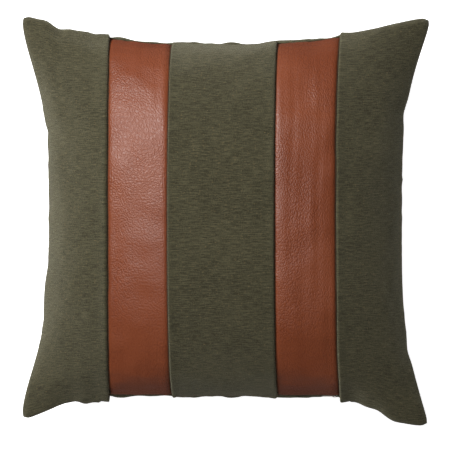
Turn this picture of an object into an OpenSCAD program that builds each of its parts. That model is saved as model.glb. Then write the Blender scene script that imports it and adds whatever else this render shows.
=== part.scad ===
// Square throw pillow: a zipped cover of linen panels and leather stripes over a stuffed insert.
// It lies on its back, front face up. X runs across the stripes, Y along them, Z is up.
// The zip closes the bottom edge, at -Y. Millimetres.

/* [Cover] */
// Side of the square cover, sewn and lying flat
sewn_side = 508; // [440:4:560]
// Corner to corner along one edge, once stuffed
corner_span = 496; // [428:4:548]
// How far the middle of each edge draws in when stuffed
edge_pull = 34; // [24:1:40]
// Width of the middle linen panel
centre_w = 128; // [120:2:144]
// Width of each leather stripe
stripe_w = 76; // [70:2:90]
// Width of the seam allowance of leather that runs under the linen
lap_w = 8; // [6:1:10]
// Thickness of the linen, interlined
linen_t = 1.0; // [0.8:0.1:1.0]
// Thickness of the leather
leather_t = 1.0; // [0.8:0.1:1.0]

/* [Stuffed shape] */
// Height of the edge seam above the surface that the pillow lies on
seam_z = 84; // [80:1:90]
// Rise of the crown above the edge seam
crown = 88; // [84:1:94]
// How far the corners hang below the edge seam
corner_droop = 9; // [0:1:12]
// Half the thickness of the blunt sewn edge
edge_blunt = 2.6; // [2.4:0.1:3]

/* [Insert] */
// How far the insert's edge stays inside the cover's edge
insert_gap = 14; // [14:1:18]
// How far the insert's crown stays below the cover's
insert_depth = 3.6; // [3.6:0.2:4.4]
// Thickness of the insert's cotton
cotton_t = 0.6; // [0.5:0.1:0.8]

/* [Zip] */
// Length of the coil chain
chain_l = 280; // [260:2:280]
// Width of each woven tape
tape_w = 10; // [9:0.5:10]
// Length of the pull tab from its hinge bar
pull_l = 16; // [14:1:16]
// Width of the pull tab
pull_w = 4.6; // [4.4:0.1:5]

/* [Hidden] */
half = sewn_side / 2;
tip = corner_span / 2;
inner_seam = centre_w / 2;
outer_seam = inner_seam + stripe_w;

// Shape of the stuffed cover
edge_curve = 1.3;
edge_spread = 1.8;
squeeze = 4;
crown_curve = 2.8;
blunt_power = 60;
seam_gap = 0.15;
lip_gap = 1.6;
lip_half = 146;
lip_fade = 8;
lip_sliver = 0.1;
step = 0.5;
straight_run = 155;
corner_curve = 2.4;

// Layers, counted inward from the cover's outer face
leather_in = linen_t + 0.2;
ditch_in = linen_t - 0.65;
label_in = linen_t + 0.7;
label_t = 0.3;
label_y = -140;

// Seams
thread_t = 0.7;
seam_in = 4.2;
allowance_w = 11;

// Zip, in its own plane: y across the chain, z outward
lip_out = 5.6;
zip_y = tip - edge_pull - lip_out;
tape_t = 0.5;
fold_y = 4.4;
tape_in = 1.0;
coil_t = 1.6;
coil_w = 2.05;
slider_l = 9;
slider_w = 7.8;
slider_x = chain_l / 2 - 7;
plate_z = 1.9;
plate_t = 0.7;
leg_w = 1.8;
leg_l = 1.0;
arch_half = 2.5;
pin_r = 0.5;
pin_z = lip_out + 0.95;
arch_z = pin_z + pin_r + 0.3;
arch_t = 0.75;
eye_l = 3.7;
eye_w = 2.6;
stop_l = 2.2;

linen = "darkolivegreen";
leather = "sienna";
cotton = "ivory";
thread = "darkkhaki";
tape = "olive";
metal = "dimgray";

// ---- The stuffed shape ----

// 0 along the straight middle of an edge, rising to 1 at the corner
function to_corner(t) = min(1, max(0, (abs(t) - straight_run) / (half - straight_run)));

// Distance of an edge from the centre line at t along it
function edge_at(t) =
    tip - edge_pull * pow(cos(90 * pow(min(1, abs(t) / half), edge_spread)), edge_curve);

// The same for the zipped edge, which is straight along the zip
function zip_edge_at(t) = tip - edge_pull * pow(cos(90 * to_corner(t)), corner_curve);

// Height of the seam around the edge and of the middle surface within it. in moves the edge inward.
function edge_height(a, b, in = 0) =
    let(k = 1 - 1.15 * in / half)
    seam_z - corner_droop * pow(to_corner(k * a) * to_corner(k * b), 2);

function dome(t) = 1 - pow(abs(t) / half, crown_curve);

function blunt(t) = 1 - pow(abs(t) / half, blunt_power);

// Half the opening between the front and the back at the edge: wide along the zip
function half_gap(a, b) =
    b < 0 && abs(a) <= lip_half ? lip_gap :
    b < 0 && abs(a) < lip_half + lip_fade
        ? lip_gap + (seam_gap - lip_gap) * (abs(a) - lip_half) / lip_fade
    : seam_gap;

function drawn_in(t, edge) = t * (1 - (1 - edge / half) * pow(abs(t) / half, squeeze));

// A point on the stuffed surface. a and b are places on the flat cloth, side is 1 in front and -1 behind,
// shrink moves the edge in and lower brings the crown down.
function skin(a, b, side, shrink = 0, lower = 0) =
    let(
        k = 1 - shrink / tip,
        far_y = b < 0 ? zip_edge_at(a) : edge_at(a),
        gap = shrink > 0 ? seam_gap : half_gap(a, b),
        rise = (crown - lower) * dome(a) * dome(b) + edge_blunt * blunt(a) * blunt(b) * k + gap,
        z = edge_height(a, b, shrink) + side * rise
    )
    [k * drawn_in(a, edge_at(b)), k * drawn_in(b, far_y), side > 0 ? z : max(lower, z)];

function inward(t) = t > 0 ? -step : step;

// Outward direction of the surface
function facing(a, b, side, shrink = 0, lower = 0) =
    let(
        here = skin(a, b, side, shrink, lower),
        da = inward(a),
        db = inward(b),
        n = cross(
            skin(a + da, b, side, shrink, lower) - here,
            skin(a, b + db, side, shrink, lower) - here
        ) * side * sign(da) * sign(db)
    )
    n / norm(n);

// A point on a layer at depth inside the surface, which stays on its own side of the edge seam
function layer(a, b, side, depth, shrink = 0, lower = 0) =
    let(
        p = skin(a, b, side, shrink, lower) - depth * facing(a, b, side, shrink, lower),
        gap = shrink > 0 ? seam_gap : half_gap(a, b),
        z0 = edge_height(a, b, shrink),
        least = gap - (depth > 0 ? lip_sliver : 0)
    )
    [p.x, p.y, z0 + side * max(side * (p.z - z0), least)];

// ---- Where the cloth is divided into facets ----

function spread(from, to, n) = [for (i = [0:n - 1]) from + (to - from) * i / n];

// Closer together towards the edge
function graded(from, to, n) = [for (i = [0:n - 1]) from + (to - from) * sin(90 * i / n)];

function mirrored(list) = [for (i = [len(list) - 1:-1:0]) -list[i]];

function within(list, low, high) = [for (t = list) if (t >= low - 0.01 && t <= high + 0.01) t];

right_columns = concat(
    spread(inner_seam - lap_w, inner_seam, 1),
    spread(inner_seam, outer_seam, 3),
    spread(outer_seam, outer_seam + lap_w, 1),
    graded(outer_seam + lap_w, half, 5),
    [half]
);
columns = concat(mirrored(right_columns), [-(inner_seam - lap_w) / 2, 0, (inner_seam - lap_w) / 2],
    right_columns);
rows = [for (i = [-12:12]) half * sin(90 * i / 12)];

// ---- Solids between two grids of points ----

// Two triangles of a four-cornered facet
function split(p, q, r, s) = [[p, q, r], [p, r, s]];

// A closed solid with the points of the grid top above those of the grid bottom, n by m points each
module slab(top, bottom, n, m) {
    function at(i, j) = i * m + j;
    count = n * m;
    faces = [
        for (i = [0:n - 2], j = [0:m - 2])
            each split(at(i, j), at(i, j + 1), at(i + 1, j + 1), at(i + 1, j)),
        for (i = [0:n - 2], j = [0:m - 2])
            each split(count + at(i, j), count + at(i + 1, j), count + at(i + 1, j + 1), count + at(i, j + 1)),
        for (i = [0:n - 2])
            each split(at(i, 0), at(i + 1, 0), count + at(i + 1, 0), count + at(i, 0)),
        for (i = [0:n - 2])
            each split(at(i + 1, m - 1), at(i, m - 1), count + at(i, m - 1), count + at(i + 1, m - 1)),
        for (j = [0:m - 2])
            each split(at(0, j + 1), at(0, j), count + at(0, j), count + at(0, j + 1)),
        for (j = [0:m - 2])
            each split(at(n - 1, j), at(n - 1, j + 1), count + at(n - 1, j + 1), count + at(n - 1, j))
    ];
    polyhedron(concat(top, bottom), faces, convexity = 6);
}

// A piece of cloth between two depths of the surface
module cloth(cols, rws, side, out, in, shrink = 0, lower = 0) {
    outer = [for (a = cols, b = rws) layer(a, b, side, out, shrink, lower)];
    inner = [for (a = cols, b = rws) layer(a, b, side, in, shrink, lower)];
    if (side > 0)
        slab(outer, inner, len(cols), len(rws));
    else
        slab(inner, outer, len(cols), len(rws));
}

// ---- The cover ----

module front_linen(from, to) {
    color(linen) cloth(within(columns, from, to), rows, 1, 0, linen_t);
}

module leather_stripe(from, to) {
    color(leather)
        cloth(within(columns, from - lap_w, to + lap_w), rows, 1, leather_in, leather_in + leather_t);
}

module back_linen_panel() {
    color(linen) cloth(columns, rows, -1, 0, linen_t);
}

// A thread in the ditch where the linen's folded edge meets the leather. way points from the linen to
// the leather.
module stripe_seam_thread(at, way) {
    near = at + 0.2 * way;
    far = near + thread_t * way;
    color(thread)
        cloth([min(near, far), max(near, far)], within(rows, -half + 3, half - 3), 1,
            ditch_in, ditch_in + thread_t);
}

// ---- The edge seam ----

function rim(p) =
    [drawn_in(p.x, edge_at(p.y)), drawn_in(p.y, p.y < 0 ? zip_edge_at(p.x) : edge_at(p.x))];

// Places on the flat cloth, anticlockwise along the edge, from the bottom edge at "start" round to the
// same distance on the other side of the middle
function round_edge(start) =
    let(half_way = concat(
        [for (t = concat([start], within(columns, start + 1, half - 1))) [t, -half]],
        [for (t = within(rows, -half, half - 1)) [half, t]],
        [for (i = [len(columns) - 1:-1:0]) if (columns[i] >= 0) [columns[i], half]]
    ))
    concat(half_way, [for (i = [len(half_way) - 2:-1:0]) [-half_way[i].x, half_way[i].y]]);

// A flat band that follows the edge of the cover, between two distances inside it
module edge_band(route, near, far, thick) {
    function place(p, in, up) =
        let(r = rim(p) * (1 - in / tip)) [r.x, r.y, edge_height(p.x, p.y, 0.72 * in) + up];
    function band(up) = [for (p = route) each [place(p, far, up), place(p, near, up)]];
    slab(band(-thick / 2), band(thick / 2), len(route), 2);
}

// It stops at the ends of the zip, which takes the place of the seam between them
module edge_seam_allowance() {
    color(linen) edge_band(round_edge(straight_run), seam_in + 1, allowance_w, 0.8 * linen_t);
}

module edge_seam_thread() {
    color(thread) edge_band(round_edge(straight_run), seam_in, seam_in + thread_t, 0.3);
}

// ---- The zip ----

module in_zip_plane() {
    translate([0, -zip_y, seam_z]) rotate([90, 0, 0]) children();
}

// side is 1 for the half towards the front of the pillow and -1 for the back
module across(side) {
    mirror([0, side > 0 ? 0 : 1, 0]) children();
}

module zip_allowance(side) {
    color(linen) in_zip_plane() across(side)
        translate([-chain_l / 2 - 6, fold_y, 0.1]) cube([chain_l + 12, 5, 0.7]);
}

module zip_tape(side) {
    color(tape) in_zip_plane() across(side)
        translate([-chain_l / 2 - 8, tape_in, -tape_t]) cube([chain_l + 16, tape_w, tape_t]);
}

module zip_coil(side) {
    from = -chain_l / 2 + 3.2;
    to = slider_x + slider_l / 2 - 1.9;
    color(tape) in_zip_plane() across(side)
        translate([from, 0.05, 0]) cube([to - from, coil_w, coil_t]);
}

module zip_thread(side) {
    color(thread) in_zip_plane() across(side)
        translate([-chain_l / 2 - 4, 7, -tape_t - 0.4]) cube([chain_l + 8, 0.5, 0.3]);
}

module zip_end_tacks() {
    color(thread) in_zip_plane()
        for (x = [-chain_l / 2 - 5, chain_l / 2 + 3])
            translate([x, -3.6, 0.1]) cube([2, 7.2, 0.6]);
}

module zip_bottom_stop() {
    color(metal) in_zip_plane()
        translate([-chain_l / 2, -2.6, 0.1]) cube([3, 5.2, coil_t + 0.2]);
}

module zip_top_stops() {
    color(metal) in_zip_plane()
        for (side = [-1, 1])
            across(side) translate([chain_l / 2 - stop_l + 1, tape_in + 0.1, 0.1])
                cube([stop_l, 1.8, coil_t]);
}

// Outline of the slider's two plates: shoulders at the front, waisted towards the back
module slider_outline() {
    polygon([
        [-slider_l / 2, -slider_w / 2 + 1.2], [-slider_l / 2 + 1.2, -slider_w / 2 + 0.6],
        [1, -slider_w / 2], [slider_l / 2 - 1, -slider_w / 2],
        [slider_l / 2, -slider_w / 2 + 1], [slider_l / 2 - 0.8, 0],
        [slider_l / 2, slider_w / 2 - 1], [slider_l / 2 - 1, slider_w / 2],
        [1, slider_w / 2], [-slider_l / 2 + 1.2, slider_w / 2 - 0.6],
        [-slider_l / 2, slider_w / 2 - 1.2]
    ]);
}

module slider_flange(side) {
    across(side) translate([-slider_l / 2 + 1.2, coil_w + 0.4, 0.35])
        cube([slider_l - 2.2, 0.85, plate_z + 0.1 - 0.35]);
}

// The nose that parts the two halves of the chain, in the open end of the slider
module slider_wedge() {
    translate([slider_l / 2 - 1.5, -0.6, -tape_t - 0.9]) cube([0.7, 1.2, plate_z + tape_t + 1]);
}

module slider_bridge() {
    for (x = [-arch_half, arch_half - leg_l])
        translate([x, -leg_w / 2, plate_z + plate_t / 2]) cube([leg_l, leg_w, arch_z - plate_z]);
    translate([-arch_half, -leg_w / 2, arch_z]) cube([2 * arch_half, leg_w, arch_t]);
}

module zip_slider() {
    color(metal) in_zip_plane() translate([slider_x, 0, 0]) {
        translate([0, 0, plate_z]) linear_extrude(plate_t) slider_outline();
        translate([0, 0, -tape_t - 1.1]) linear_extrude(0.7) slider_outline();
        for (side = [-1, 1]) slider_flange(side);
        slider_wedge();
        slider_bridge();
    }
}

// The tab lies back over the closed chain. Its hinge bar passes under the slider's bridge.
module zip_pull_tab() {
    color(metal) in_zip_plane() translate([slider_x, 0, pin_z]) {
        translate([0, -pull_w / 2, 0]) rotate([-90, 0, 0])
            cylinder(r = pin_r, h = pull_w, $fn = 32);
        translate([0, 0, -pin_r]) linear_extrude(2 * pin_r) difference() {
            union() {
                translate([-pull_l + pull_w / 2, -pull_w / 2]) square([pull_l - pull_w / 2, pull_w]);
                translate([-pull_l + pull_w / 2, 0]) circle(r = pull_w / 2, $fn = 48);
            }
            translate([-eye_l, -eye_w / 2]) square([eye_l + 1, eye_w]);
            translate([-pull_l + pull_w / 2, 0]) circle(r = 0.9, $fn = 32);
        }
    }
}

// ---- Inside the cover ----

// A blank woven label on the back panel's side. way is -1 at the left edge and 1 at the right.
module label(way, from, length, width, out, shrink = 0, lower = 0) {
    cols = [for (i = [0:4]) way * (from - length * i / 4)];
    color(cotton)
        cloth(way > 0 ? [for (i = [4:-1:0]) cols[i]] : cols,
            [for (i = [0:3]) label_y + width * i / 3], -1, out, out + label_t, shrink, lower);
}

module care_label() {
    label(-1, half - 4, 44, 32, label_in);
}

module insert_label() {
    label(1, half - 8, 52, 40, -label_t - 0.3, insert_gap, insert_depth);
}

module insert_cotton(side) {
    color(cotton) cloth(columns, rows, side, 0, cotton_t, insert_gap, insert_depth);
}

// The overlocked edge where the insert's two pieces of cotton are joined
module insert_edge_thread() {
    color(thread) edge_band(round_edge(thread_t), insert_gap - 0.9, insert_gap - 0.9 + thread_t, 0.4);
}

module fibre_fill() {
    function face(side) = [for (a = columns, b = rows)
        layer(a, b, side, cotton_t + 0.4, insert_gap, insert_depth)];
    color("white") slab(face(1), face(-1), len(columns), len(rows));
}

front_linen(-half, -outer_seam);  // left_linen_panel
leather_stripe(-outer_seam, -inner_seam);  // left_leather_stripe
front_linen(-inner_seam, inner_seam);  // centre_linen_panel
leather_stripe(inner_seam, outer_seam);  // right_leather_stripe
front_linen(outer_seam, half);  // right_linen_panel
back_linen_panel();
stripe_seam_thread(-outer_seam, 1);  // stripe_seam_thread_1
stripe_seam_thread(-inner_seam, -1);  // stripe_seam_thread_2
stripe_seam_thread(inner_seam, 1);  // stripe_seam_thread_3
stripe_seam_thread(outer_seam, -1);  // stripe_seam_thread_4
edge_seam_allowance();
edge_seam_thread();
zip_allowance(1);  // front_zip_allowance
zip_allowance(-1);  // back_zip_allowance
zip_tape(1);  // front_zip_tape
zip_tape(-1);  // back_zip_tape
zip_coil(1);  // front_zip_coil
zip_coil(-1);  // back_zip_coil
zip_thread(1);  // front_zip_thread
zip_thread(-1);  // back_zip_thread
zip_end_tacks();
zip_bottom_stop();
zip_top_stops();
zip_slider();
zip_pull_tab();
care_label();
insert_cotton(1);  // insert_front_cotton
insert_cotton(-1);  // insert_back_cotton
insert_edge_thread();
insert_label();
fibre_fill();
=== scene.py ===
"""A square throw pillow: a zipped cover of linen panels and leather stripes over a stuffed insert."""

import math

import bmesh
import bpy
import numpy as np
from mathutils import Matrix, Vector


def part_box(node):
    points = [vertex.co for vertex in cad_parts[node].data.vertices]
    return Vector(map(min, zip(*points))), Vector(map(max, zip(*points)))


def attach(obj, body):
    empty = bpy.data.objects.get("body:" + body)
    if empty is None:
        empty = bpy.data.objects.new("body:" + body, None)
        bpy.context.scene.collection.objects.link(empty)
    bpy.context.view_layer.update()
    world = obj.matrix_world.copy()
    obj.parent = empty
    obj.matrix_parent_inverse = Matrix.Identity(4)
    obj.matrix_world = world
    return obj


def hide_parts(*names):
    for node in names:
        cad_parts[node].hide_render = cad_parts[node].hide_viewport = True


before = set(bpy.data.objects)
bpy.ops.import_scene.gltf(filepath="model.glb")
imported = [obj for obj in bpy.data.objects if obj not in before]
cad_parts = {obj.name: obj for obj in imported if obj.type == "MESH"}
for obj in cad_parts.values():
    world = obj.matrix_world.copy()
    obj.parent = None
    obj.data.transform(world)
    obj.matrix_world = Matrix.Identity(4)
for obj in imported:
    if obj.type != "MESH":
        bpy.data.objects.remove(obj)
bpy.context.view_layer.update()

# ---- The camera ----
# A long lens over the pillow's face, leaning a little to the right of it. The top of the view is +Y.

slider_low, slider_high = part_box("zip_slider")
seam_height = (slider_low.z + slider_high.z) / 2
view_lean = math.radians(3.3)
view_distance = 4.2
view_width = 0.546

camera_data = bpy.data.cameras.new("camera")
camera_data.lens = camera_data.sensor_width * view_distance / view_width
camera_data.shift_y = -0.014
camera = bpy.data.objects.new("camera", camera_data)
camera.location = (
    view_distance * math.sin(view_lean),
    0,
    seam_height + view_distance * math.cos(view_lean),
)
camera.rotation_euler = (0, view_lean, 0)
bpy.context.scene.collection.objects.link(camera)
bpy.context.scene.camera = camera

# ---- Shader sums ----
# Each material below is written as sums on the sockets of its shader.


class Wire:
    """A socket of a shader. Sums written with it add Math nodes."""

    def __init__(self, tree, socket=None):
        self.tree = tree
        self.socket = socket

    def node(self, kind, sockets=None, out=0, **settings):
        """Adds a node with its settings, then its sockets' values or links, and gives its output."""
        made = self.tree.nodes.new(kind)
        for name, value in settings.items():
            if name == "stops":
                for stop, (place, colour) in zip(ramp_stops(made, len(value)), value):
                    stop.position = place
                    stop.color = colour
            else:
                setattr(made, name, value)
        for name, value in (sockets or {}).items():
            if isinstance(value, Wire):
                self.tree.links.new(value.socket, made.inputs[name])
            else:
                made.inputs[name].default_value = value
        return Wire(self.tree, made.outputs[out])

    def math(self, operation, *values):
        return self.node("ShaderNodeMath", dict(enumerate(values)), operation=operation)

    def __add__(self, other):
        return self.math("ADD", self, other)

    __radd__ = __add__

    def __sub__(self, other):
        return self.math("SUBTRACT", self, other)

    def __rsub__(self, other):
        return self.math("SUBTRACT", other, self)

    def __mul__(self, other):
        return self.math("MULTIPLY", self, other)

    __rmul__ = __mul__

    def clamped(self):
        return self.node("ShaderNodeClamp", {0: self})

    def between(self, low, high):
        """0 below low and 1 above high, smoothly."""
        return self.node("ShaderNodeMapRange", {0: self, 1: low, 2: high}, interpolation_type="SMOOTHSTEP")

    def mixed(self, first, second):
        """A colour from first to second as this value goes from 0 to 1."""
        return self.node("ShaderNodeMix", {0: self, 6: first, 7: second}, out=2, data_type="RGBA")

    def noise(self, place, scale, detail=2.0, roughness=0.5):
        sockets = {"Vector": place, "Scale": scale, "Detail": detail, "Roughness": roughness}
        return self.node("ShaderNodeTexNoise", sockets)

    def bands(self, place, scale, way, distortion=0.0, detail_scale=1.0):
        """Threads or ribs: even bands across one axis of a place."""
        sockets = {"Vector": place, "Scale": scale, "Distortion": distortion, "Detail Scale": detail_scale}
        return self.node("ShaderNodeTexWave", sockets, bands_direction=way)

    def stretched(self, place, scales):
        return self.node("ShaderNodeVectorMath", {0: place, 1: scales}, operation="MULTIPLY")


def ramp_stops(made, count):
    stops = made.color_ramp.elements
    while len(stops) < count:
        stops.new(1)
    return stops


def new_material(name):
    """A material, its shader's own sockets, and a wire to start its sums from."""
    material = bpy.data.materials.new(name)
    material.use_nodes = True
    shader = material.node_tree.nodes["Principled BSDF"]
    return material, shader.inputs, Wire(material.node_tree)


def join(wire, socket):
    wire.tree.links.new(wire.socket, socket)


def emboss(sockets, height, strength, distance):
    """Raises a height on the surface: distance is in metres, for a height of 1."""
    bump = height.node("ShaderNodeBump", {"Strength": strength, "Distance": distance, "Height": height})
    join(bump, sockets["Normal"])


# ---- The stuffed form ----
# Front and back are cut 508 mm square and sewn together round the edge, then stuffed. The filling
# draws the middle of each edge in and leaves the corners as flat ears. Cloth simulation settles the
# two sheets around the volume of the filling, with the edge seam held where the frame has it.

sewn_half = 0.254
centre_half = 0.064
stripe_outer = 0.140
straight_half = 0.155
cells = 72

front_low, front_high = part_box("centre_linen_panel")
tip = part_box("back_linen_panel")[1].x
lip_y = -front_low.y
drawn_most = tip - lip_y
cloth_over_form = 0.0043
crown = front_high.z - seam_height - cloth_over_form
crown_power = 2.8
edge_blunt = 0.0026
edge_spread = 1.8
ear_power = 60
ear_droop = 0.009
ear_round = 0.0035
side_ear_round = 0.0015


def to_ear(t):
    return np.clip((np.abs(t) - straight_half) / (sewn_half - straight_half), 0, 1)


def edge_line(t, below, above, rounding, notches=()):
    """Distance of a plain edge from the centre line. below and above set how soon it turns out to its
    two ears, and notches are gathers along it, each a place, depth and width."""
    share = np.minimum(1, np.abs(t) / sewn_half)
    drawn = drawn_most * np.cos(np.pi / 2 * share**edge_spread) ** np.where(t < 0, below, above)
    return tip - drawn - rounding * share**ear_power - gathered(t, notches)


def zip_edge_line(t, below, above, notches=()):
    """The same for the zipped edge, which is straight along the zip."""
    drawn = drawn_most * np.cos(np.pi / 2 * to_ear(t)) ** np.where(t < 0, below, above)
    return tip - drawn - ear_round * (np.abs(t) / sewn_half) ** ear_power - gathered(t, notches)


def gathered(t, notches):
    return sum(depth * np.exp(-(((t - place) / width) ** 2)) for place, depth, width in notches)


def drawn_in(t, edge):
    return t * (1 - (1 - edge / sewn_half) * (np.abs(t) / sewn_half) ** 4)


def stuffed_start(a, b):
    """Front and back of the stuffed cover before the cloth settles, over places on the flat cloth."""
    left = edge_line(b, 2.0, 1.9, side_ear_round, [(-0.090, -0.004, 0.030), (0.108, 0.0022, 0.010)])
    right = edge_line(b, 1.2, 1.5, side_ear_round, [
        (0.128, 0.003, 0.014), (-0.160, 0.002, 0.012), (-0.254, 0.002, 0.04),
    ])
    top = edge_line(a, 1.3, 1.65, ear_round, [
        (0.0, 0.0035, 0.11), (0.062, -0.001, 0.012), (-0.205, 0.004, 0.010), (-0.222, -0.0015, 0.008),
        (0.254, 0.0045, 0.07),
    ])
    bottom = zip_edge_line(a, 1.3, 4.2, [
        (-0.168, -0.005, 0.012), (0.172, -0.005, 0.013), (0.205, -0.003, 0.012), (-0.254, 0.003, 0.03),
        (0.254, -0.003, 0.03),
    ])
    x = drawn_in(a, np.where(a < 0, left, right))
    y = drawn_in(b, np.where(b < 0, bottom, top))
    dome = (1 - np.abs(a / sewn_half) ** crown_power) * (1 - np.abs(b / sewn_half) ** crown_power)
    blunt = (1 - np.abs(a / sewn_half) ** ear_power) * (1 - np.abs(b / sewn_half) ** ear_power)
    middle = seam_height - ear_droop * (to_ear(a) * to_ear(b)) ** 2
    rise = crown * dome + edge_blunt * blunt
    return np.stack([x, y, middle + rise], -1), np.stack([x, y, middle - rise], -1)


def mesh_object(name, points, faces):
    mesh = bpy.data.meshes.new(name)
    mesh.from_pydata(np.asarray(points).reshape(-1, 3).tolist(), [], [tuple(map(int, f)) for f in faces])
    made = bpy.data.objects.new(name, mesh)
    bpy.context.scene.collection.objects.link(made)
    return made


def grid_faces(index):
    corners = [index[:-1, :-1], index[1:, :-1], index[1:, 1:], index[:-1, 1:]]
    return np.stack(corners, -1).reshape(-1, 4)


def smoothed(moves, rounds):
    """Evens out moves over a grid, whose border stays."""
    for _ in range(rounds):
        inner = moves[1:-1, 1:-1]
        around = moves[:-2, 1:-1] + moves[2:, 1:-1] + moves[1:-1, :-2] + moves[1:-1, 2:]
        moves[1:-1, 1:-1] = 0.5 * inner + 0.125 * around
    return moves


def settle(front, back, a, b):
    """Simulates the two sheets, sewn along their border, around the volume they start with."""
    count = cells + 1
    index = np.arange(count * count).reshape(count, count)
    inner = np.zeros((count, count), bool)
    inner[1:-1, 1:-1] = True
    back_index = index.copy()
    back_index[inner] = count * count + np.arange(inner.sum())
    faces = np.concatenate([grid_faces(index), grid_faces(back_index)[:, ::-1]])
    cloth = mesh_object("settling", np.concatenate([front.reshape(-1, 3), back[inner]]), faces)
    lift = 0.001 * inner
    flat_front = np.stack([a, b, lift], -1).reshape(-1, 3)
    flat_back = np.stack([a, b, -lift], -1)[inner]
    cloth.shape_key_add(name="stuffed")
    flat = cloth.shape_key_add(name="flat")
    flat.data.foreach_set("co", np.concatenate([flat_front, flat_back]).ravel())
    seam = cloth.vertex_groups.new(name="seam")
    seam.add([int(v) for v in index[~inner]], 1, "REPLACE")

    modifier = cloth.modifiers.new("cloth", "CLOTH")
    modifier.collision_settings.use_collision = False
    modifier.point_cache.frame_end = settle_frames
    settings = modifier.settings
    settings.rest_shape_key = flat
    settings.quality = 6
    settings.mass = 0.15
    settings.tension_stiffness = settings.compression_stiffness = 20
    settings.shear_stiffness = 6
    settings.bending_stiffness = 12
    settings.tension_damping = settings.compression_damping = settings.shear_damping = 25
    settings.bending_damping = 5
    settings.air_damping = 20
    settings.use_pressure = True
    settings.use_pressure_volume = True
    settings.target_volume = stuffed_volume(front, back)
    settings.uniform_pressure_force = 0
    settings.pressure_factor = 120
    settings.vertex_group_mass = "seam"
    settings.effector_weights.gravity = 0
    for number in range(1, settle_frames + 1):
        bpy.context.scene.frame_set(number)
    settled = cloth.evaluated_get(bpy.context.evaluated_depsgraph_get()).to_mesh()
    points = np.empty(len(settled.vertices) * 3)
    settled.vertices.foreach_get("co", points)
    points = points.reshape(-1, 3)
    bpy.context.scene.frame_set(1)
    bpy.data.objects.remove(cloth)
    return points[index], points[back_index]


def stuffed_volume(front, back):
    """Volume between the two sheets, as columns under each cell of the front."""
    height = front[..., 2] - back[..., 2]
    across = np.gradient(front[..., 0], axis=0) * np.gradient(front[..., 1], axis=1)
    return float((height * np.abs(across)).sum())


def eased(moves, most):
    """Moves no longer than most, with short ones hardly changed."""
    length = np.linalg.norm(moves, axis=-1, keepdims=True)
    return moves * most * np.tanh(length / most) / np.maximum(length, 1e-9)


settle_frames = 30
most_settled = 0.009
resting_below = 0.02
rest_blend = 0.004
places = np.linspace(-sewn_half, sewn_half, cells + 1)
flat_a, flat_b = np.meshgrid(places, places, indexing="ij")
starts = stuffed_start(flat_a, flat_b)
forms = list(starts)
settled = settle(*starts, flat_a, flat_b)
forms = [s + eased(smoothed(p - s, 3), most_settled) for s, p in zip(starts, settled)]

# The back rests on the floor, and flattens there
for form in forms:
    height = form[..., 2]
    resting = 0.5 * (height + np.hypot(height, rest_blend))
    form[..., 2] = np.where(height < resting_below, resting, height)


def facing(form, side):
    """Outward directions over a grid of points."""
    normal = side * np.cross(np.gradient(form, axis=0), np.gradient(form, axis=1))
    return normal / np.linalg.norm(normal, axis=-1, keepdims=True)


facings = [facing(forms[0], 1), facing(forms[1], -1)]


def sampled(grid, a, b):
    """A smooth curve through the points of a grid, at places a and b on the flat cloth."""
    weights = []
    for t in (a, b):
        u = np.clip((t + sewn_half) / (2 * sewn_half) * cells, 0, cells)
        cell = np.minimum(u.astype(int), cells - 1)
        s = u - cell
        spline = [
            -0.5 * s + s**2 - 0.5 * s**3,
            1 - 2.5 * s**2 + 1.5 * s**3,
            0.5 * s + 2 * s**2 - 1.5 * s**3,
            -0.5 * s**2 + 0.5 * s**3,
        ]
        weights.append((cell, spline))
    padded_grid = np.pad(grid, ((1, 1), (1, 1), (0, 0)), mode="reflect", reflect_type="odd")
    total = 0
    for i, across in enumerate(weights[0][1]):
        for j, along in enumerate(weights[1][1]):
            corner = padded_grid[weights[0][0] + i, weights[1][0] + j]
            total = total + (across * along)[..., None] * corner
    return total


seam_gap = 0.00015
zip_gap = 0.0016
zip_gap_end = 0.154
zip_gap_fade = 0.008
zip_gap_depth = 0.007


def lip_gap(a, b):
    """Half the gap between front and back: a hair all round, and open along the zip."""
    along = np.clip((zip_gap_end - np.abs(a)) / zip_gap_fade, 0, 1)
    return zip_gap * along * np.exp(-(((b + sewn_half) / zip_gap_depth) ** 2)) + seam_gap


def on_form(a, b, side, height):
    """Points at a height above the form, over places on the flat cloth. side is 0 in front, 1 behind."""
    a, b, height = np.broadcast_arrays(a, b, height)
    normal = sampled(facings[side], a, b)
    normal /= np.linalg.norm(normal, axis=-1, keepdims=True)
    points = sampled(forms[side], a, b) + normal * height[..., None]
    points[..., 2] += (1 - 2 * side) * lip_gap(a, b)
    return points


def from_edge(a, b):
    """Distance to the nearest edge of the flat cloth."""
    return np.minimum(sewn_half - np.abs(a), sewn_half - np.abs(b))


# ---- Linen panels of the front ----
# Three panels of slubbed linen run from top to bottom. Where they meet the leather their long edges
# are folded under, so they stand a little proud of it, and beside the edge seam the cloth rolls over.

linen_thick = 0.0010
fold_rise = 0.0014
fold_under = 0.0020
fold_width = 0.006
nose_radius = 0.0030
roll_width = 0.0055
cloth_pitch = 0.0036
hair = 0.0002
edge_turn = sewn_half - np.array([0, 0.0004, 0.0012, 0.0024, 0.004, 0.006, 0.0085])


def spread(low, high, pitch):
    return np.linspace(low, high, max(2, int(round((high - low) / pitch)) + 1))


def edge_to_edge(pitch, turn=edge_turn):
    """Places across the flat cloth, closer together in the turn of the cloth at its two edges."""
    return np.concatenate([-turn, spread(-turn[-1], turn[-1], pitch)[1:-1], turn[::-1]])


def rolled(a, b, height):
    """A height that falls to the seam at the edge of the cover, as cloth rolls into it."""
    near = np.clip(from_edge(a, b) / roll_width, 0, 1)
    return height * np.sqrt(1 - (1 - near) ** 2)


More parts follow.
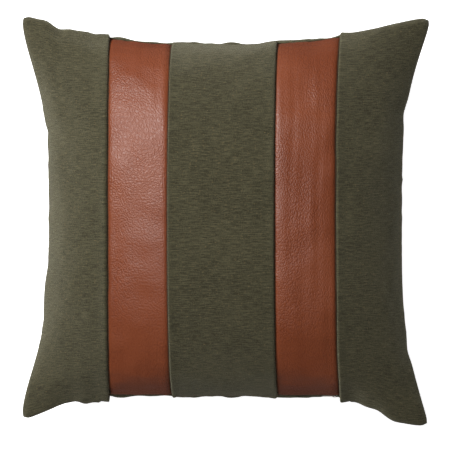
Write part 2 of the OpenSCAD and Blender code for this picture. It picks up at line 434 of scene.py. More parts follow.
def gathers(a, b, seed):
    """Small puckers that the edge seam and the settling leave, fading into the panel."""
    draw = np.random.default_rng(seed)
    depth = sewn_half - np.abs(np.stack([a, b]))
    total = np.zeros(np.broadcast(a, b).shape)
    for run, distance in ((b, depth[0]), (a, depth[1])):
        rise = np.clip(distance / 0.004, 0, 1)
        for wave, size, reach in ((0.013, 0.00028, 0.012), (0.027, 0.0006, 0.022), (0.052, 0.0009, 0.04)):
            phase = draw.uniform(0, 2 * math.pi, 3)
            sway = 1.7 * np.sin(run / wave * 1.3 + phase[1])
            ripple = np.sin(run / wave * 2 * math.pi + phase[0] + sway)
            swell = 0.6 + 0.4 * np.sin(run / wave * 0.9 + phase[2])
            total += size * ripple * swell * rise * np.exp(-distance / reach)
    return total


def shade_smooth(made):
    made.data.polygons.foreach_set("use_smooth", [True] * len(made.data.polygons))


def sheet_mesh(name, outer, inner, a, b):
    """A closed sheet between two grids of points, with its place on the flat cloth as a UV map."""
    shape = outer.shape[:2]
    count = shape[0] * shape[1]
    index = np.arange(count).reshape(shape)
    around = np.concatenate([index[:-1, 0], index[-1, :-1], index[:0:-1, -1], index[0, :0:-1]])
    follow = np.roll(around, -1)
    border = np.stack([follow, around, around + count, follow + count], -1)
    faces = np.concatenate([grid_faces(index), grid_faces(index + count)[:, ::-1], border])
    outward = np.cross(outer[1, 0] - outer[0, 0], outer[0, 1] - outer[0, 0])
    if np.dot(outward, outer[0, 0] - inner[0, 0]) < 0:
        faces = faces[:, ::-1]
    made = mesh_object(name, np.concatenate([outer.reshape(-1, 3), inner.reshape(-1, 3)]), faces)
    shade_smooth(made)
    add_flat_map(made, a, b)
    return made


def add_flat_map(made, a, b):
    """Stores where each point lies on the flat cloth, in metres, for the weave and the grain."""
    a, b = np.broadcast_arrays(a, b)
    one = np.stack([a.ravel(), b.ravel()], -1)
    both = np.concatenate([one] * (len(made.data.vertices) // len(one)))
    corners = np.empty(len(made.data.loops), int)
    made.data.loops.foreach_get("vertex_index", corners)
    layer = made.data.uv_layers.new(name="cloth")
    layer.data.foreach_set("uv", both[corners].ravel())


bulge_run = 0.006
tab_way_half = 0.0027
tab_way_end = 0.1510
tab_way_fade = 0.004
lip_slack = 0.0001
lip_slope = 1.1
no_limit = 0.2


def overhung(points, b, reach):
    """Lets cloth bulge over the seam at its panel's ends, clear of the pull tab's way along the zip."""
    to_end = (sewn_half - np.abs(b)) / bulge_run
    points[..., 1] += np.sign(b) * reach * to_end * np.exp(1 - to_end)
    beside_way = np.maximum(0, np.abs(points[..., 2] - seam_height) - tab_way_half)
    beyond_way = np.clip((np.abs(points[..., 0]) - tab_way_end) / tab_way_fade, 0, 1)
    lip_face = -lip_y - lip_slack - lip_slope * beside_way - no_limit * beyond_way
    points[..., 1] = np.maximum(points[..., 1], lip_face)
    return points


def folded_columns(low, high, pitch, low_folded, high_folded):
    """Places across a panel, and how far up its round nose each one is, from 0 to 1."""
    nose = nose_radius * np.array([0, 0.04, 0.15, 0.33, 0.6, 1])
    lift = np.sqrt(1 - (1 - nose / nose_radius) ** 2)
    flat = np.ones(len(edge_turn))
    start, start_lift = (low + nose, lift) if low_folded else (-edge_turn, flat)
    end, end_lift = (high - nose[::-1], lift[::-1]) if high_folded else (edge_turn[::-1], flat)
    middle = spread(start[-1], end[0], pitch)[1:-1]
    return (
        np.concatenate([start, middle, end]),
        np.concatenate([start_lift, np.ones(len(middle)), end_lift]),
    )


fold_hang_width = 0.03
top_hang = 0.4
ear_calm = 0.8


def linen_panel(name, low, high, low_folded, high_folded, seed, reach, fold_reach):
    """One panel, whose ends hang over the seam by reach, and by fold_reach more beside its folds."""
    places_a, nose_lift = folded_columns(low, high, cloth_pitch, low_folded, high_folded)
    a, b = np.meshgrid(places_a, edge_to_edge(cloth_pitch), indexing="ij")
    nose_lift = nose_lift[:, None]
    to_fold = np.full(a.shape, 1.0)
    if low_folded:
        to_fold = np.minimum(to_fold, a - low)
    if high_folded:
        to_fold = np.minimum(to_fold, high - a)
    folded = np.exp(-((to_fold / fold_width) ** 2))
    slack = 1 + 0.25 * np.sin(b / 0.021 + seed) * np.sin(b / 0.047 + 2 * seed)
    top = rolled(a, b, linen_thick + hair + fold_rise * slack * folded + gathers(a, b, seed))
    under = -hair - rolled(a, b, fold_under * folded)
    middle = 0.6 * under
    under = np.minimum(under, top - hair)
    hang = (reach + fold_reach * np.exp(-((to_fold / fold_hang_width) ** 2))) * np.where(b > 0, top_hang, 1)
    hang = hang * (1 - ear_calm * to_ear(a))
    outer = overhung(on_form(a, b, 0, middle + (top - middle) * nose_lift), b, hang)
    inner = overhung(on_form(a, b, 0, middle + (under - middle) * nose_lift), b, hang)
    return sheet_mesh(name, outer, inner, a, b)


def linen_material(name, dark, light, dyed, seed):
    """A plain weave with slubs. Thicker threads run across the panel, and some took the dye less."""
    material, sockets, wire = new_material(name)
    place = wire.node("ShaderNodeUVMap", uv_map="cloth")
    warp = wire.bands(place, 330.0, "X", 2.4, 0.6)
    weft = wire.bands(place, 290.0, "Y", 3.0, 0.5)

    def streaks(scales, low, high):
        """Uneven places in the yarn, different in each bolt of cloth."""
        yarn = {"W": seed, "Scale": 1.0, "Detail": 3.0, "Roughness": 0.6}
        yarn["Vector"] = wire.stretched(place, scales)
        return wire.node("ShaderNodeTexNoise", yarn, noise_dimensions="4D").between(low, high)

    slubs = streaks((80.0, 820.0, 1.0), 0.36, 0.7)
    knots = streaks((900.0, 240.0, 1.0), 0.42, 0.72)
    flecks = streaks((260.0, 700.0, 9.0), 0.56, 0.72)
    cloudy = wire.noise(wire.stretched(place, (11.0, 17.0, 1.0)), 1.0, 4.0, 0.6).between(0.25, 0.75)
    specks = wire.noise(place, 780.0, 3.0, 0.7).between(0.3, 0.7)
    tone = 0.1 * warp + 0.14 * weft + 0.42 * slubs + 0.18 * knots + 0.12 * cloudy + 0.28 * specks - 0.16
    plain = tone.clamped().mixed(dark, light)
    join((0.75 * flecks).mixed(plain, dyed), sockets["Base Color"])
    join(0.94 - 0.1 * slubs, sockets["Roughness"])
    relief = 0.5 * warp + 0.4 * weft + 0.6 * slubs + 0.5 * knots + 0.5 * specks
    emboss(sockets, relief, 0.8, 0.0006)
    sockets["Sheen Weight"].default_value = 0.22
    sockets["Sheen Roughness"].default_value = 0.45
    sockets["Sheen Tint"].default_value = (0.8, 0.76, 0.55, 1)
    sockets["Specular IOR Level"].default_value = 0.2
    return material


linen = linen_material("slubbed_linen", (0.014, 0.0125, 0.006, 1), (0.122, 0.111, 0.06, 1),
                       (0.17, 0.128, 0.06, 1), 1.0)
for name, low, high, low_folded, high_folded, seed, reach, fold_reach in (
    ("left_linen_panel", -sewn_half, -stripe_outer, False, True, 11, 0.0035, 0.0062),
    ("centre_linen_panel", -centre_half, centre_half, True, True, 12, 0.0005, 0.0018),
    ("right_linen_panel", stripe_outer, sewn_half, True, False, 13, 0.0035, 0.0052),
):
    panel = linen_panel(name + "_cloth", low, high, low_folded, high_folded, seed, reach, fold_reach)
    panel.data.materials.append(linen)
    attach(panel, "pillow")
    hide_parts(name)

# ---- Leather stripes ----
# Two stripes of pebbled leather, one layer thick. Their raw long edges run 8 mm under the linen's
# folds, where they are stitched down, so the leather lies lower than the linen.

leather_thick = 0.0012
leather_lap = 0.008
dip_width = 0.0070
dip_depth = 0.0040
dip_turn = np.array([0, 0.0004, 0.001, 0.0018, 0.003, 0.0045, 0.007])
seam_set_back = 0.0010
leather_pitch = 0.003


def leather_height(a, b, low, high, seed):
    """The leather's face over the form. It dips into the seams on both sides."""
    inside = np.clip(np.minimum(a - low, high - a) / dip_width, 0, 1)
    rounded = np.sqrt(1 - (1 - inside) ** 2)
    relief = (creases(a, b, seed) + gathers(a, b, seed)) * inside
    return rolled(a, b, seam_set_back - dip_depth * (1 - rounded) + relief) - seam_set_back


def leather_stripe(name, low, high, seed):
    ends = spread(low - leather_lap, low, 0.004)[:-1]
    middle = spread(low + dip_turn[-1], high - dip_turn[-1], leather_pitch)[1:-1]
    across = np.concatenate([ends, low + dip_turn, middle, high - dip_turn[::-1], high + (low - ends[::-1])])
    a, b = np.meshgrid(across, edge_to_edge(leather_pitch), indexing="ij")
    height = leather_height(a, b, low, high, seed)
    outer = overhung(on_form(a, b, 0, height), b, 0.0)
    inner = overhung(on_form(a, b, 0, height - leather_thick), b, 0.0)
    return sheet_mesh(name, outer, inner, a, b)


def creases(a, b, seed):
    """Soft wrinkles of the leather: fine ones along the stripe, broad ones across it near its ends."""
    draw = np.random.default_rng(seed)
    total = np.zeros(a.shape)
    for wave, size in ((0.011, 0.00010), (0.017, 0.00016), (0.03, 0.0002)):
        phase = draw.uniform(0, 2 * math.pi, 4)
        sway = 0.5 * np.sin(b / 0.07 + phase[0]) + 0.3 * np.sin(b / 0.031 + phase[1])
        patch = 0.5 + 0.5 * np.sin(b / 0.09 + a / 0.04 + phase[3])
        total += size * patch * np.sin(2 * math.pi * (a / wave + 0.35 * sway) + phase[2])
    near_end = np.exp(-(sewn_half - np.abs(b)) / 0.05)
    phase = draw.uniform(0, 2 * math.pi, 2)
    across = np.sin(2 * math.pi * b / 0.018 + 1.5 * np.sin(a / 0.02 + phase[0]) + phase[1])
    return total + 0.0003 * near_end * across


def leather_material():
    """Drum-dyed hide with a pebbled grain: small round cells, some with a furrow beside them. Its colour has
    painted shade between the cells and in the furrows.
    """
    material, sockets, wire = new_material("pebbled_leather")
    place = wire.node("ShaderNodeUVMap", uv_map="cloth")
    cells_at = {"Vector": wire.stretched(place, (1.0, 0.8, 1.0)), "Scale": 520.0, "Smoothness": 0.25}
    pebble = wire.node("ShaderNodeTexVoronoi", cells_at, feature="SMOOTH_F1", voronoi_dimensions="2D")
    pebble = pebble.between(0.0, 0.8)
    folds_at = {"Vector": wire.stretched(place, (1.0, 0.5, 1.0)), "Scale": 230.0}
    folds = wire.node("ShaderNodeTexVoronoi", folds_at, feature="DISTANCE_TO_EDGE", voronoi_dimensions="2D")
    furrows = 1 - folds.between(0.0, 0.3)
    cloudy = wire.noise(wire.stretched(place, (9.0, 6.0, 1.0)), 1.0, 3.0, 0.5).between(0.25, 0.75)
    strength = wire.noise(wire.stretched(place, (16.0, 10.0, 1.0)), 1.0, 2.0, 0.5).between(0.3, 0.7)
    fine = wire.noise(place, 1300.0, 2.0)
    # Painted shade: the tone is lighter on the pebbles' domes and darker between them and in the furrows.
    # The cloudy and fine patches of tone are the hide's own.
    tone = (0.36 + 0.3 * cloudy + 0.2 * (1 - pebble) - 0.2 * furrows * strength + 0.1 * fine).clamped()
    tans = [
        (0.0, (0.072, 0.013, 0.003, 1)),
        (0.5, (0.152, 0.035, 0.0115, 1)),
        (1.0, (0.215, 0.058, 0.022, 1)),
    ]
    join(wire.node("ShaderNodeValToRGB", {0: tone}, stops=tans), sockets["Base Color"])
    join(0.38 + 0.05 * cloudy + 0.10 * furrows, sockets["Roughness"])
    relief = (1.0 * (1 - pebble) - 0.25 * furrows) * (0.5 + 0.5 * strength)
    emboss(sockets, relief, 0.6, 0.0005)
    sockets["Specular IOR Level"].default_value = 0.38
    return material


left_stripe = (-stripe_outer, -centre_half, 21)
right_stripe = (centre_half, stripe_outer, 22)
leather = leather_material()
for name, (low, high, seed) in (
    ("left_leather_stripe", left_stripe),
    ("right_leather_stripe", right_stripe),
):
    stripe = leather_stripe(name + "_skin", low, high, seed)
    stripe.data.materials.append(leather)
    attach(stripe, "pillow")
    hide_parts(name)

# ---- Back panel ----
# One piece of the same linen, plain, with its edge rolled into the seam all round. It is gathered a
# little where it is sewn to the front, so that its edge waves past the front's.

back_pitch = 0.0045
floor_clearance = 0.0001


def back_panel():
    places_across = edge_to_edge(back_pitch)
    a, b = np.meshgrid(places_across, places_across, indexing="ij")
    height = rolled(a, b, linen_thick + gathers(a, b, 31))
    wavy = 0.0026 + 0.0014 * np.sin(a / 0.0105 + 1.4 * np.sin(a / 0.023))
    wavy = wavy * (1 - ear_calm * to_ear(a))
    outer = overhung(on_form(a, b, 1, height), b, wavy)
    inner = overhung(on_form(a, b, 1, np.minimum(height - hair, 0) - hair), b, wavy)
    outer[..., 2] = np.maximum(outer[..., 2], floor_clearance)
    inner[..., 2] = np.maximum(inner[..., 2], floor_clearance + linen_thick)
    return sheet_mesh("back_linen_panel_cloth", outer, inner, a, b)


back = back_panel()
back_linen = linen_material(
    "slubbed_linen_back", (0.02, 0.018, 0.009, 1), (0.118, 0.108, 0.058, 1), (0.155, 0.112, 0.05, 1), 7.0
)
back.data.materials.append(back_linen)
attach(back, "pillow")
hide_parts("back_linen_panel")

# ---- Stitching of the stripe seams ----
# Polyester thread. Each stripe seam is sewn just beside the linen's fold, 3.4 mm to a stitch, and the
# stitches sink a little into the leather.

stitch_pitch = 0.0034
stitch_long = 0.0025
stitch_sides = 6
thread_radius = 0.00028


def stitches(name, starts_at, ends_at, normals, radius):
    """A row of stitches, each a short thread that rises between two points where it dips in."""
    profile = ((0.0, -1.0), (0.06, 0.4), (0.3, 1.0), (0.7, 1.0), (0.94, 0.4), (1.0, -1.0))
    run = ends_at - starts_at
    across = np.cross(run, normals)
    across /= np.linalg.norm(across, axis=-1, keepdims=True)
    rings = []
    for along, rise in profile:
        middle = starts_at + along * run + rise * radius * normals
        for side in range(stitch_sides):
            turn = 2 * math.pi * side / stitch_sides
            rings.append(middle + radius * (math.cos(turn) * normals + math.sin(turn) * across))
    points = np.stack(rings, 1)
    ring = np.arange(len(profile) * stitch_sides).reshape(len(profile), stitch_sides)
    follow = np.roll(ring, -1, axis=1)
    walls = np.stack([ring[:-1], ring[1:], follow[1:], follow[:-1]], -1).reshape(-1, 4).tolist()
    one = walls + [ring[0].tolist(), ring[-1, ::-1].tolist()]
    faces = [[v + stitch * ring.size for v in face] for stitch in range(len(starts_at)) for face in one]
    made = mesh_object(name, points, faces)
    shade_smooth(made)
    return made


def thread_material(name, colour, shine):
    """Twisted thread: the ply shows as fine bands."""
    material, sockets, wire = new_material(name)
    place = wire.node("ShaderNodeTexCoord", out=3)
    twist = wire.bands(place, 900.0, "DIAGONAL", 1.0)
    tone = 0.6 + 0.4 * twist
    dark = tuple(0.5 * c for c in colour[:3]) + (1,)
    join(tone.mixed(dark, colour), sockets["Base Color"])
    join(0.75 - shine * twist, sockets["Roughness"])
    emboss(sockets, twist, 0.4, 0.0001)
    return material


beside_fold = 0.0009
above_leather = 0.0001
probe = 0.001
seam_thread = thread_material("olive_thread", (0.06, 0.052, 0.03, 1), 0.2)
for number, seam_a, way, leather_at in (
    (1, -stripe_outer, 1, left_stripe),
    (2, -centre_half, -1, left_stripe),
    (3, centre_half, 1, right_stripe),
    (4, stripe_outer, -1, right_stripe),
):
    first = np.arange(-sewn_half + 0.006, sewn_half - 0.009, stitch_pitch)
    line = np.full(first.shape, seam_a + beside_fold * way)
    bed = leather_height(line, first, *leather_at) + above_leather
    bed_ahead = leather_height(line, first + stitch_long, *leather_at) + above_leather
    start = on_form(line, first, 0, bed)
    seam = stitches(
        f"stripe_seam_thread_{number}_stitches",
        start,
        on_form(line, first + stitch_long, 0, bed_ahead),
        (on_form(line, first, 0, bed + probe) - start) / probe,
        thread_radius,
    )
    seam.data.materials.append(seam_thread)
    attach(seam, "pillow")
    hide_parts(f"stripe_seam_thread_{number}")

# ---- Edge seam ----
# Front and back are sewn face to face 12 mm from their raw edges, then turned. The allowance lies flat
# inside the edge, and stops at the ends of the zip.

allowance_insets = np.array([0.0028, 0.005, 0.008, 0.012])
allowance_half_thick = 0.00045
allowance_pitch = 0.004
level_run = 0.045


def rim_places(pitch, gap):
    """Places along the flat cloth's edge, anticlockwise, leaving gap on each side of the zip's middle."""
    h = sewn_half
    runs = [
        [(t, -h) for t in spread(gap, h, pitch)[:-1]],
        [(h, t) for t in spread(-h, h, pitch)[:-1]],
        [(-t, h) for t in spread(-h, h, pitch)[:-1]],
        [(-h, -t) for t in spread(-h, h, pitch)[:-1]],
        [(t, -h) for t in spread(-h, -gap, pitch)],
    ]
    return np.array([place for run in runs for place in run])


def inside_rim(places_on_rim, inset, lift):
    """Points inside the edge seam, at an inset from it and a lift above its middle surface."""
    a, b = places_on_rim[:, 0], places_on_rim[:, 1]
    rim = sampled(forms[0], a, b)
    points = rim * (1 - np.array([1, 1, 0]) * inset / tip)
    points[:, 2] += (seam_height - rim[:, 2]) * inset / level_run + lift
    return points


route = rim_places(allowance_pitch, straight_half)
band, under = [
    np.stack([inside_rim(route, inset, side * allowance_half_thick) for inset in allowance_insets], 1)
    for side in (1, -1)
]
along = np.arange(len(route)) * allowance_pitch
allowance = sheet_mesh("edge_seam_allowance_cloth", band, under, along[:, None], allowance_insets[None, :])
allowance.data.materials.append(back_linen)
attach(allowance, "pillow")
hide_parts("edge_seam_allowance")

sewn_inset = 0.0045
sewn_lift = 0.0006
sewn_share = 0.75
route = rim_places(stitch_pitch, straight_half + 0.002)
sewn = inside_rim(route, sewn_inset, sewn_lift)
sewn_to = sewn[:-1] + sewn_share * (sewn[1:] - sewn[:-1])
upward = np.tile([0.0, 0.0, 1.0], (len(sewn_to), 1))
edge_thread = stitches("edge_seam_thread_stitches", sewn[:-1], sewn_to, upward, thread_radius)
edge_thread.data.materials.append(seam_thread)
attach(edge_thread, "pillow")
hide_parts("edge_seam_thread")

# ---- Zip tapes and allowances ----
# A coil zip closes the bottom edge. Its woven tapes are sewn under the folded allowances of front and
# back, whose folds nearly meet over it and hide it.

tape_low, tape_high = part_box("front_zip_tape")
tape_face = tape_low.y
zip_end = tape_high.x


def zip_strip(name, profile, thick, half_length, side, leather_room=0.0):
    """A strip of cloth along the zip. profile is its section, as distances outward from the tapes' outer
    face and across from the zip's middle. side is 1 for the front's half and -1 for the back's.
    leather_room is the share of the outward distance that it gives up behind the thick stripes."""
    profile = np.array(profile)
    run = np.gradient(profile, axis=0)
    run /= np.linalg.norm(run, axis=1, keepdims=True)
    other = profile + thick * np.stack([-run[:, 1], run[:, 0]], -1)
    x = spread(-half_length, half_length, 0.004)
    inside_stripe = np.minimum(np.abs(x) - centre_half, stripe_outer - np.abs(x))
    share = 1 - leather_room * np.clip(inside_stripe / 0.002 + 1, 0, 1)
    faces = []
    for section in (profile, other):
        points = np.empty((len(x), len(section), 3))
        points[..., 0] = x[:, None]
        points[..., 1] = tape_face - section[:, 0] * share[:, None]
        points[..., 2] = seam_height + side * section[:, 1]
        faces.append(points)
    length = np.concatenate([[0], np.cumsum(np.linalg.norm(np.diff(profile, axis=0), axis=1))])
    return sheet_mesh(name, *faces, x[:, None], length[None, :])


def tape_material():
    """Fine herringbone ribs of a woven polyester tape."""
    material, sockets, wire = new_material("zip_tape_weave")
    place = wire.node("ShaderNodeUVMap", uv_map="cloth")
    ribs = wire.bands(place, 420.0, "Y")
    picks = wire.bands(place, 300.0, "X", 1.5)
    weave = 0.6 * ribs + 0.4 * picks
    join(weave.mixed((0.022, 0.021, 0.011, 1), (0.07, 0.066, 0.036, 1)), sockets["Base Color"])
    join(0.8 - 0.12 * ribs, sockets["Roughness"])
    emboss(sockets, weave, 0.6, 0.0001)
    return material


tape_weave = tape_material()
tape_width = 0.010
tape_thick = 0.0004
tape_section = [(0, 0.001 + tape_width * share) for share in (0, 0.2, 0.4, 0.6, 0.8, 1)]
zip_fold_thick = 0.0005
fold_half = 0.146
fold_section = [
    (0.0050, 0.0021), (0.0049, 0.0028), (0.0044, 0.0038), (0.0034, 0.0046), (0.0018, 0.0049),
    (0.0010, 0.0051), (0.0007, 0.0058), (0.0006, 0.0070), (0.0006, 0.0093),
]
zip_sewn_from = -0.143
zip_sewn_to = 0.140
zip_sewn_depth = 0.0005
zip_sewn_across = 0.0072
for side_name, side in (("front", 1), ("back", -1)):
    tape = zip_strip(f"{side_name}_zip_tape_weave", tape_section, tape_thick, zip_end, side)
    tape.data.materials.append(tape_weave)
    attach(tape, "pillow")
    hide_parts(f"{side_name}_zip_tape")
    fold_name = f"{side_name}_zip_allowance_cloth"

    leather_room = 0.4 if side > 0 else 0.0
    fold = zip_strip(fold_name, fold_section, zip_fold_thick, fold_half, side, leather_room)
    fold.data.materials.append(back_linen)
    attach(fold, "pillow")
    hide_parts(f"{side_name}_zip_allowance")

    first = np.arange(zip_sewn_from, zip_sewn_to, stitch_pitch)
    start = np.empty((len(first), 3))
    start[:, 0] = first
    start[:, 1] = tape_face + zip_sewn_depth
    start[:, 2] = seam_height + side * zip_sewn_across
    inward = np.tile([0.0, 1.0, 0.0], (len(first), 1))
    end = start + np.array([stitch_long, 0, 0])
    row = stitches(f"{side_name}_zip_thread_stitches", start, end, inward, thread_radius)
    row.data.materials.append(seam_thread)
    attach(row, "pillow")
    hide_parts(f"{side_name}_zip_thread")

# ---- Zip coils ----
# Each half of the chain is a nylon wire coiled along the tape's edge, and the heads of the two coils
# lie between each other.

coil_low, coil_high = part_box("front_zip_coil")
coil_pitch = 0.0014
coil_wire = 0.00028
coil_steps = 12


def swept_tube(name, path, radius, sides):
    """A closed tube along a path of points."""
    run = np.gradient(path, axis=0)
    run /= np.linalg.norm(run, axis=1, keepdims=True)
    first = np.cross(run, [1.0, 0.2, 0.1])
    first /= np.linalg.norm(first, axis=1, keepdims=True)
    second = np.cross(run, first)
    turn = np.arange(sides) * 2 * math.pi / sides
    round_it = np.cos(turn)[:, None] * first[:, None] + np.sin(turn)[:, None] * second[:, None]
    points = path[:, None] + radius * round_it
    ring = np.arange(len(path) * sides).reshape(len(path), sides)
    follow = np.roll(ring, -1, axis=1)
    walls = np.stack([ring[:-1], follow[:-1], follow[1:], ring[1:]], -1).reshape(-1, 4).tolist()
    made = mesh_object(name, points, walls + [ring[0, ::-1].tolist(), ring[-1].tolist()])
    shade_smooth(made)
    return made


def coil_material():
    material, sockets, wire = new_material("zip_coil_nylon")
    place = wire.node("ShaderNodeTexCoord", out=3)
    worn = wire.noise(place, 600.0, 2.0).between(0.35, 0.7)
    join(worn.mixed((0.028, 0.027, 0.014, 1), (0.05, 0.048, 0.026, 1)), sockets["Base Color"])
    join(0.32 + 0.15 * worn, sockets["Roughness"])
    return material


coil_nylon = coil_material()
for side_name, side in (("front", 1), ("back", -1)):
    turns = np.arange(0, (coil_high.x - coil_low.x - 0.001) / coil_pitch, 1 / coil_steps)
    reach = (coil_high.z - seam_height) / 2 - coil_wire + 0.0001
    depth = (coil_high.y - coil_low.y) / 2 - coil_wire
    swing = 2 * math.pi * turns
    path = np.stack([
        coil_low.x + 0.0005 + coil_pitch * (turns + (0.5 if side < 0 else 0)),
        np.full_like(turns, (coil_high.y + coil_low.y) / 2) - depth * np.sin(swing),
        seam_height + side * (reach - reach * np.cos(swing)),
    ], -1)
    coil = swept_tube(f"{side_name}_zip_coil_wire", path, coil_wire, 6)
    coil.data.materials.append(coil_nylon)
    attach(coil, "pillow")
    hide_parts(f"{side_name}_zip_coil")

# ---- Zip metal ----
# Slider, pull tab and stops are die-cast zinc with a dark nickel plate, their edges eased by tumbling.


def eased_copy(name, node, ease):
    """The frame's own piece with its edges rounded over."""
    made = bpy.data.objects.new(name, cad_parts[node].data.copy())
    made.data.materials.clear()
    bpy.context.scene.collection.objects.link(made)
    work = bmesh.new()
    work.from_mesh(made.data)
    bmesh.ops.remove_doubles(work, verts=work.verts, dist=1e-6)
    bmesh.ops.dissolve_limit(work, angle_limit=math.radians(1), verts=work.verts, edges=work.edges)
    work.to_mesh(made.data)
    work.free()
    bevel = made.modifiers.new("ease", "BEVEL")
    bevel.width = ease
    bevel.segments = 2
    bevel.limit_method = "ANGLE"
    bevel.angle_limit = math.radians(25)
    shade_smooth(made)
    made.data.set_sharp_from_angle(angle=math.radians(40))
    return made


def metal_material():
    material, sockets, wire = new_material("dark_nickel")
    place = wire.node("ShaderNodeTexCoord", out=3)
    worn = wire.noise(place, 900.0, 4.0, 0.6).between(0.4, 0.65)
    scratch = wire.noise(wire.stretched(place, (300.0, 4000.0, 4000.0)), 1.0, 2.0)
    join(worn.mixed((0.16, 0.15, 0.135, 1), (0.3, 0.285, 0.26, 1)), sockets["Base Color"])
    join(0.28 + 0.16 * worn + 0.1 * scratch, sockets["Roughness"])
    emboss(sockets, scratch, 0.15, 0.00005)
    sockets["Metallic"].default_value = 1.0
    return material


nickel = metal_material()
for node, body, ease in (
    ("zip_bottom_stop", "pillow", 0.0003),
    ("zip_top_stops", "pillow", 0.0003),
    ("zip_slider", "slider", 0.00015),
    ("zip_pull_tab", "pull", 0.00015),
):
    metal = eased_copy(node + "_cast", node, ease)
    metal.data.materials.append(nickel)
    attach(metal, body)
    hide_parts(node)

# ---- Zip end tacks ----
# A bar tack of close stitches crosses both tapes beyond each end of the chain.

tack_low, tack_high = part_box("zip_end_tacks")
tack_pitch = 0.00022
tack_bars = 8
tack_radius = 0.0002
tack_start = np.array([
    (x + tack_pitch * bar, tape_face - 0.0003, tack_low.z)
    for x in (tack_low.x + 0.0003, tack_high.x - 0.0019) for bar in range(tack_bars)
])
tack_across = np.array([0, 0, tack_high.z - tack_low.z])
outward = np.tile([0.0, -1.0, 0.0], (len(tack_start), 1))
tacks = stitches("zip_end_tacks_stitches", tack_start, tack_start + tack_across, outward, tack_radius)
tacks.data.materials.append(seam_thread)
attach(tacks, "pillow")
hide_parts("zip_end_tacks")

# ---- Insert ----
# A separate bag of white downproof cotton, overlocked round its edge and filled with polyester fibre.
# It is a little smaller than the cover, and fills it.

insert_share = 0.945
insert_depth = 0.0056
insert_thick = 0.0005
insert_turn = sewn_half - np.array([0, 0.0005, 0.002, 0.005, 0.010])


def insert_points(a, b, side, depth):
    """The insert's surface inside the cover, at a depth below the cover's form."""
    near_a, near_b = insert_share * a, insert_share * b
    faces = [on_form(near_a, near_b, which, -depth) for which in (0, 1)]
    middle = (faces[0] + faces[1]) / 2
    fullness = np.sqrt((1 - np.abs(a / sewn_half) ** 14) * (1 - np.abs(b / sewn_half) ** 14))
    return middle + (faces[side] - middle) * fullness[..., None]


def cotton_material():
    """A close plain weave with soft creases."""
    material, sockets, wire = new_material("downproof_cotton")
    place = wire.node("ShaderNodeUVMap", uv_map="cloth")
    warp = wire.bands(place, 500.0, "X", 1.0)
    weft = wire.bands(place, 500.0, "Y", 1.0)
    cloudy = wire.noise(place, 18.0, 4.0)
    tone = 0.25 * warp + 0.25 * weft + 0.5 * cloudy
    join(tone.mixed((0.66, 0.65, 0.61, 1), (0.84, 0.83, 0.79, 1)), sockets["Base Color"])
    join(0.85 + 0.1 * cloudy, sockets["Roughness"])
    relief = 0.3 * warp + 0.3 * weft + wire.noise(place, 60.0, 3.0)
    emboss(sockets, relief, 0.4, 0.0004)
    return material


cotton = cotton_material()
insert_grid = edge_to_edge(0.008, insert_turn)
insert_a, insert_b = np.meshgrid(insert_grid, insert_grid, indexing="ij")
for side, side_name in enumerate(("front", "back")):
    bag = sheet_mesh(
        f"insert_{side_name}_cotton_cloth",
        insert_points(insert_a, insert_b, side, insert_depth),
        insert_points(insert_a, insert_b, side, insert_depth + insert_thick),
        insert_a, insert_b,
    )
    bag.data.materials.append(cotton)
    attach(bag, "pillow")
    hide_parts(f"insert_{side_name}_cotton")

overlock_pitch = 0.003
overlock_reach = 0.0022
overlock_radius = 0.0003
slider_room = 0.0008
slider_way_half = 0.150
overlock = rim_places(overlock_pitch, 0.0)[:-1]
bag_rim = insert_points(overlock[:, 0], overlock[:, 1], 0, insert_depth)
bag_out = bag_rim * (1 + np.array([1, 1, 0]) * overlock_reach / tip)
behind_zip = np.abs(bag_out[:, 0]) < slider_way_half
bag_out[behind_zip, 1] = np.maximum(bag_out[behind_zip, 1], slider_high.y + slider_room)
upward = np.tile([0.0, 0.0, 1.0], (len(bag_rim), 1))
overlocking = stitches("insert_edge_thread_stitches", bag_rim, bag_out, upward, overlock_radius)
white_thread = thread_material("white_thread", (0.78, 0.77, 0.73, 1), 0.15)
overlocking.data.materials.append(white_thread)
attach(overlocking, "pillow")
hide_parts("insert_edge_thread")


def wadding():
    """The fibre inside the bag, lumpy where it was stuffed in by handfuls."""
    inner_grid = edge_to_edge(0.009, insert_turn[1:]) * 0.985
    a, b = np.meshgrid(inner_grid, inner_grid, indexing="ij")
    across = np.sin(a / 0.011 + 2 * np.sin(b / 0.023))
    along_it = np.sin(b / 0.013 + 1.5 * np.sin(a / 0.019))
    depth = 0.0070 + 0.0012 * (1 + across * along_it)
    upper, lower = [insert_points(a, b, side, depth) for side in (0, 1)]
    made = sheet_mesh("fibre_fill_wadding", upper, lower, a, b)
    material, sockets, wire = new_material("polyester_fibre")
    place = wire.node("ShaderNodeTexCoord", out=3)
    tufts = wire.noise(place, 90.0, 6.0, 0.7)
    hairs = wire.noise(wire.stretched(place, (200.0, 900.0, 200.0)), 1.0, 4.0, 0.7)
    fluff = 0.6 * tufts + 0.4 * hairs
    join(fluff.mixed((0.7, 0.7, 0.68, 1), (0.93, 0.93, 0.91, 1)), sockets["Base Color"])
    join(0.9 + 0.1 * tufts, sockets["Roughness"])
    emboss(sockets, tufts + 0.5 * hairs, 0.8, 0.002)
    made.data.materials.append(material)
    return made


fill = wadding()
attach(fill, "pillow")
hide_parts("fibre_fill")

# ---- Labels ----
# Two blank woven labels: one in the cover's side seam, one on the insert.


def label_material():
    """Satin tape: fine lengthwise ribs and a soft shine."""
    material, sockets, wire = new_material("satin_label")
    place = wire.node("ShaderNodeUVMap", uv_map="cloth")
    ribs = wire.bands(place, 700.0, "Y")
    cloudy = wire.noise(place, 120.0, 3.0)
    tone = 0.5 * ribs + 0.5 * cloudy
    join(tone.mixed((0.7, 0.69, 0.64, 1), (0.86, 0.85, 0.8, 1)), sockets["Base Color"])
    join(0.4 + 0.15 * cloudy, sockets["Roughness"])
    emboss(sockets, ribs, 0.3, 0.00008)
    return material


label_thick = 0.0003
label_curl = 0.0005
label_pitch = 0.003


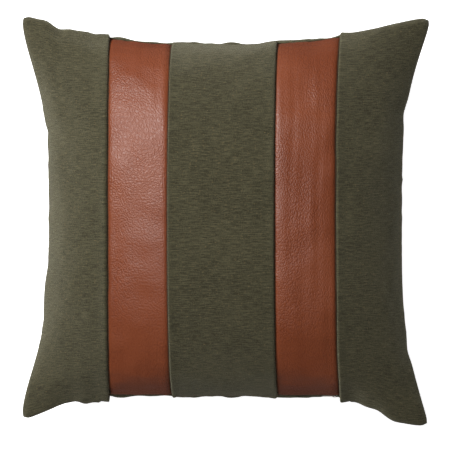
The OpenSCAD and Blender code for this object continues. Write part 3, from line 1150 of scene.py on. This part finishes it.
def label(name, a, b, points_at):
    """A label over places on the flat cloth. points_at gives its points at a height above its bed."""
    a, b = np.meshgrid(a, b, indexing="ij")
    curl = label_curl * np.abs((a - a[0, 0]) / (a[-1, 0] - a[0, 0])) ** 2
    return sheet_mesh(name, points_at(a, b, label_thick + curl), points_at(a, b, curl), a, b)


satin = label_material()
labels = (
    ("care_label", spread(-0.250, -0.206, label_pitch), spread(-0.140, -0.108, label_pitch),
     lambda a, b, up: on_form(a, b, 1, -0.0020 - up)),
    ("insert_label", spread(0.200, 0.246, label_pitch), spread(-0.140, -0.100, label_pitch),
     lambda a, b, up: insert_points(a, b, 1, 0.0053 - up)),
)
for node, a, b, points_at in labels:
    tag = label(node + "_satin", a, b, points_at)
    tag.data.materials.append(satin)
    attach(tag, "pillow")
    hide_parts(node)

# ---- Floor and light ----
# A wide white floor that doesn't show in reflections, a softbox to the upper left, and a large one
# nearly overhead that fills.

floor_half = 40
floor_corners = [(x * floor_half, y * floor_half, 0) for x, y in ((-1, -1), (1, -1), (1, 1), (-1, 1))]
floor = mesh_object("floor", floor_corners, [(0, 1, 2, 3)])
floor_material, floor_sockets, _ = new_material("white_sweep")
floor_sockets["Base Color"].default_value = (0.85, 0.85, 0.85, 1)
floor_sockets["Roughness"].default_value = 0.9
floor_sockets["Emission Color"].default_value = (1, 1, 1, 1)
floor_sockets["Emission Strength"].default_value = 0.95
floor.data.materials.append(floor_material)
floor.visible_glossy = False

world = bpy.data.worlds.new("studio")
bpy.context.scene.world = world
world.use_nodes = True
world.node_tree.nodes["Background"].inputs["Color"].default_value = (1, 1, 1, 1)
world.node_tree.nodes["Background"].inputs["Strength"].default_value = 0.03


def softbox(name, place, size, power):
    """An area light that faces the middle of the pillow's footprint. size is in metres, power in watts."""
    light = bpy.data.lights.new(name, "AREA")
    light.shape = "RECTANGLE"
    light.size, light.size_y = size
    light.energy = power
    made = bpy.data.objects.new(name, light)
    made.location = place
    made.rotation_euler = made.location.to_track_quat("Z", "Y").to_euler()
    bpy.context.scene.collection.objects.link(made)


softbox("key_softbox", (-1.05, 0.95, 1.7), (0.6, 0.6), 50)
softbox("fill_softbox", (-0.45, 0.4, 2.6), (1.4, 1.8), 34)
bpy.context.scene.view_settings.view_transform = "Standard"
